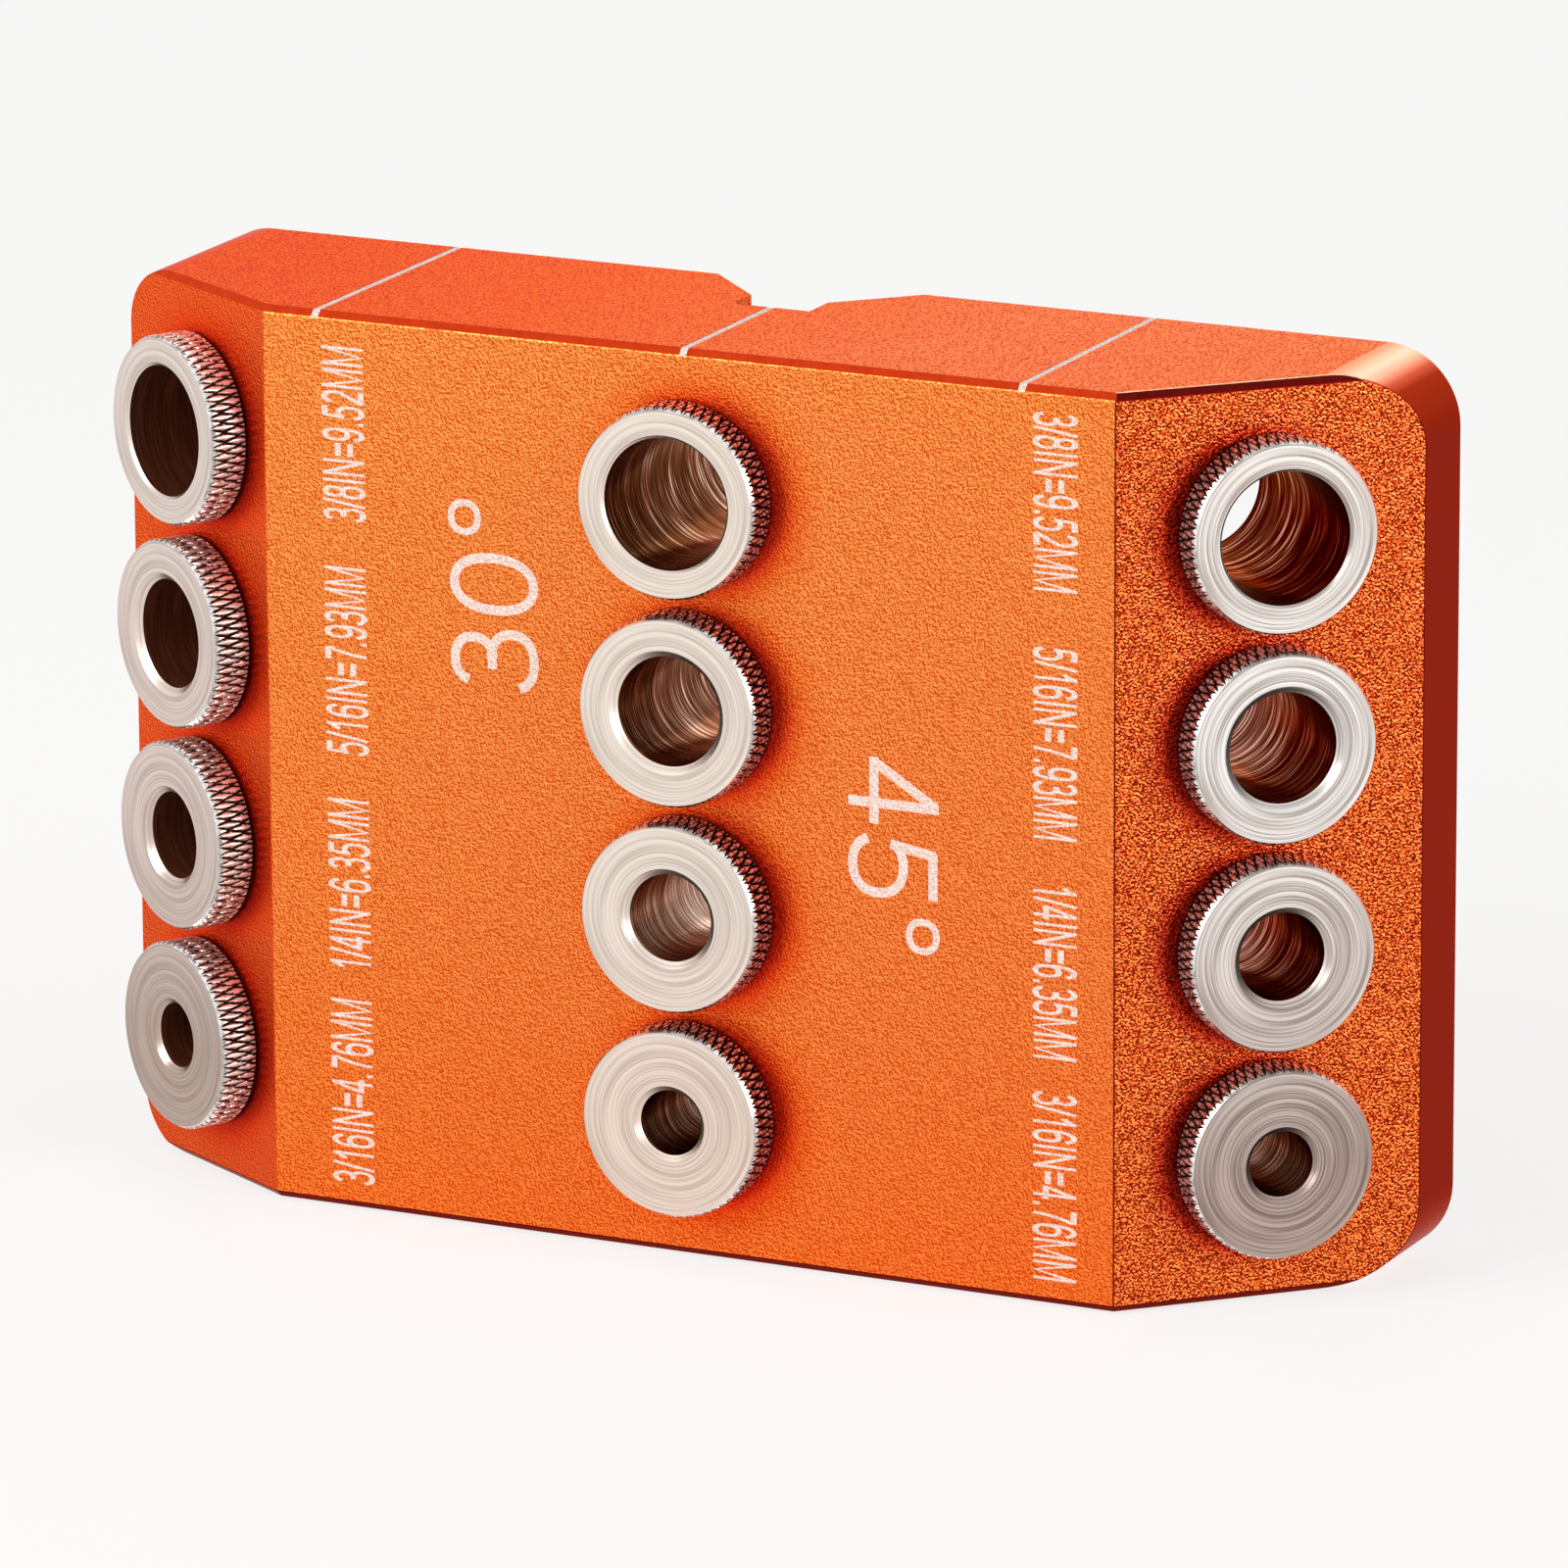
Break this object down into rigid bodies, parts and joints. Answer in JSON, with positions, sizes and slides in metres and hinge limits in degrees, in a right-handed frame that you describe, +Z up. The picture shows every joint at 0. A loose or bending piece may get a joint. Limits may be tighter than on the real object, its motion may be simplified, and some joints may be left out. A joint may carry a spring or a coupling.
{
  "type": "drill guide",
  "caption": "Drill guide: orange aluminium block with knurled steel drill bushes in a flat front and sloping side faces, and a vee groove with a relief slot along its base.",
  "frame": {"origin": "middle of the lower end, at the centre of the width and of the depth over the bush heads", "axes": "+X along the block's width, towards the 45 degree side; +Y from the bush heads towards the grooved base; +Z up along the block's length"},
  "size_m": [0.098, 0.0254, 0.066],
  "materials": {
    "anodised_block": "orange anodised, bead blasted on the front and sloping faces",
    "turned_steel": "turned faces with a diamond knurl round the heads"
  },
  "bodies": {
    "root": {"guide_block": "anodised_block", "bush_30deg_3_8in": "turned_steel", "bush_30deg_5_16in": "turned_steel", "bush_30deg_1_4in": "turned_steel", "bush_30deg_3_16in": "turned_steel", "bush_90deg_3_8in": "turned_steel", "bush_90deg_5_16in": "turned_steel", "bush_90deg_1_4in": "turned_steel", "bush_90deg_3_16in": "turned_steel", "bush_45deg_3_8in": "turned_steel", "bush_45deg_5_16in": "turned_steel", "bush_45deg_1_4in": "turned_steel", "bush_45deg_3_16in": "turned_steel"}
  },
  "joints": []
}
